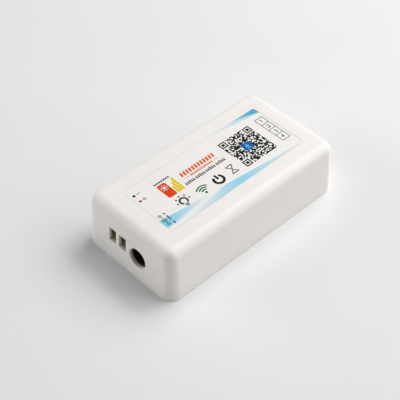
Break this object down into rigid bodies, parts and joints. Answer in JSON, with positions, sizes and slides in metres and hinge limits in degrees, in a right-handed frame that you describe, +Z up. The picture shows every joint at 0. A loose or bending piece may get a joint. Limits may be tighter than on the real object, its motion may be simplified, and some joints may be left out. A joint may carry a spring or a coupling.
{
  "type": "led strip controller",
  "caption": "White box that dims and switches an LED strip: drafted case with printed top film, wire clamps at both ends and a round DC power socket.",
  "frame": {"origin": "middle of the case's bottom", "axes": "+X along the length from the power end to the strip's end, +Z up through the label"},
  "size_m": [0.085, 0.045, 0.0225],
  "materials": {
    "case_plastic": "fine satin moulding",
    "label_film": "smooth printed film",
    "board": "solder resist",
    "terminal_plastic": "moulded, satin",
    "brass": "stamped",
    "socket_plastic": "moulded, satin",
    "plated_metal": "nickel plated",
    "clamp_metal": "plated brass",
    "module_board": "solder resist",
    "shield_metal": "tinned sheet",
    "black_epoxy": "moulded epoxy",
    "tinned_metal": "tinned",
    "can_metal": "drawn can",
    "ferrite": "sintered",
    "chip_ceramic": "ceramic",
    "light_lens": "clear lens",
    "solder": "reflowed"
  },
  "bodies": {
    "case": {"top_shell": "case_plastic", "label_sheet": "label_film", "base_cover": "case_plastic", "circuit_board": "board", "input_terminal_housing": "terminal_plastic", "input_contact_bars": "brass", "output_terminal_housing": "terminal_plastic", "output_contact_bars": "brass", "dc_jack_housing": "socket_plastic", "dc_jack_centre_pin": "plated_metal", "dc_jack_sleeve_spring": "brass", "dc_jack_switch_contact": "brass", "wireless_module_board": "module_board", "wireless_module_shield": "shield_metal", "transistor_bodies": "black_epoxy", "transistor_tabs": "tinned_metal", "input_capacitor": "can_metal", "capacitor_base": "black_epoxy", "power_inductor": "ferrite", "voltage_regulator": "black_epoxy", "input_diode": "black_epoxy", "chip_resistors": "black_epoxy", "chip_capacitors": "chip_ceramic", "status_light": "light_lens", "solder_joints": "solder"},
    "input_screw_1": {"input_screw_1": "plated_metal"},
    "input_clamp_1": {"input_clamp_1": "clamp_metal"},
    "input_screw_2": {"input_screw_2": "plated_metal"},
    "input_clamp_2": {"input_clamp_2": "clamp_metal"},
    "output_screw_1": {"output_screw_1": "plated_metal"},
    "output_clamp_1": {"output_clamp_1": "clamp_metal"},
    "output_screw_2": {"output_screw_2": "plated_metal"},
    "output_clamp_2": {"output_clamp_2": "clamp_metal"},
    "output_screw_3": {"output_screw_3": "plated_metal"},
    "output_clamp_3": {"output_clamp_3": "clamp_metal"},
    "output_screw_4": {"output_screw_4": "plated_metal"},
    "output_clamp_4": {"output_clamp_4": "clamp_metal"}
  },
  "joints": [
    {"name": "input_screw_1_turn", "type": "hinge", "parent": "case", "child": "input_screw_1", "pos_m": [-0.03539, 0.00254, 0.0043], "axis": [0, 0, 1], "range_deg": [0, 2448]},
    {"name": "input_clamp_1_rise", "type": "slide", "parent": "case", "child": "input_clamp_1", "axis": [0, 0, -1], "range_m": [0, 0.0034]},
    {"name": "input_screw_2_turn", "type": "hinge", "parent": "case", "child": "input_screw_2", "pos_m": [-0.03539, 0.00762, 0.0043], "axis": [0, 0, 1], "range_deg": [0, 2448]},
    {"name": "input_clamp_2_rise", "type": "slide", "parent": "case", "child": "input_clamp_2", "axis": [0, 0, -1], "range_m": [0, 0.0034]},
    {"name": "output_screw_1_turn", "type": "hinge", "parent": "case", "child": "output_screw_1", "pos_m": [0.03539, -0.00762, 0.0043], "axis": [0, 0, 1], "range_deg": [0, 2448]},
    {"name": "output_clamp_1_rise", "type": "slide", "parent": "case", "child": "output_clamp_1", "axis": [0, 0, -1], "range_m": [0, 0.0034]},
    {"name": "output_screw_2_turn", "type": "hinge", "parent": "case", "child": "output_screw_2", "pos_m": [0.03539, -0.00254, 0.0043], "axis": [0, 0, 1], "range_deg": [0, 2448]},
    {"name": "output_clamp_2_rise", "type": "slide", "parent": "case", "child": "output_clamp_2", "axis": [0, 0, -1], "range_m": [0, 0.0034]},
    {"name": "output_screw_3_turn", "type": "hinge", "parent": "case", "child": "output_screw_3", "pos_m": [0.03539, 0.00254, 0.0043], "axis": [0, 0, 1], "range_deg": [0, 2448]},
    {"name": "output_clamp_3_rise", "type": "slide", "parent": "case", "child": "output_clamp_3", "axis": [0, 0, -1], "range_m": [0, 0.0034]},
    {"name": "output_screw_4_turn", "type": "hinge", "parent": "case", "child": "output_screw_4", "pos_m": [0.03539, 0.00762, 0.0043], "axis": [0, 0, 1], "range_deg": [0, 2448]},
    {"name": "output_clamp_4_rise", "type": "slide", "parent": "case", "child": "output_clamp_4", "axis": [0, 0, -1], "range_m": [0, 0.0034]}
  ],
  "couplings": [
    {"joint": "input_screw_1_turn", "follows": "input_clamp_1_rise", "rad_per_m": 12566},
    {"joint": "input_screw_2_turn", "follows": "input_clamp_2_rise", "rad_per_m": 12566},
    {"joint": "output_screw_1_turn", "follows": "output_clamp_1_rise", "rad_per_m": 12566},
    {"joint": "output_screw_2_turn", "follows": "output_clamp_2_rise", "rad_per_m": 12566},
    {"joint": "output_screw_3_turn", "follows": "output_clamp_3_rise", "rad_per_m": 12566},
    {"joint": "output_screw_4_turn", "follows": "output_clamp_4_rise", "rad_per_m": 12566}
  ]
}
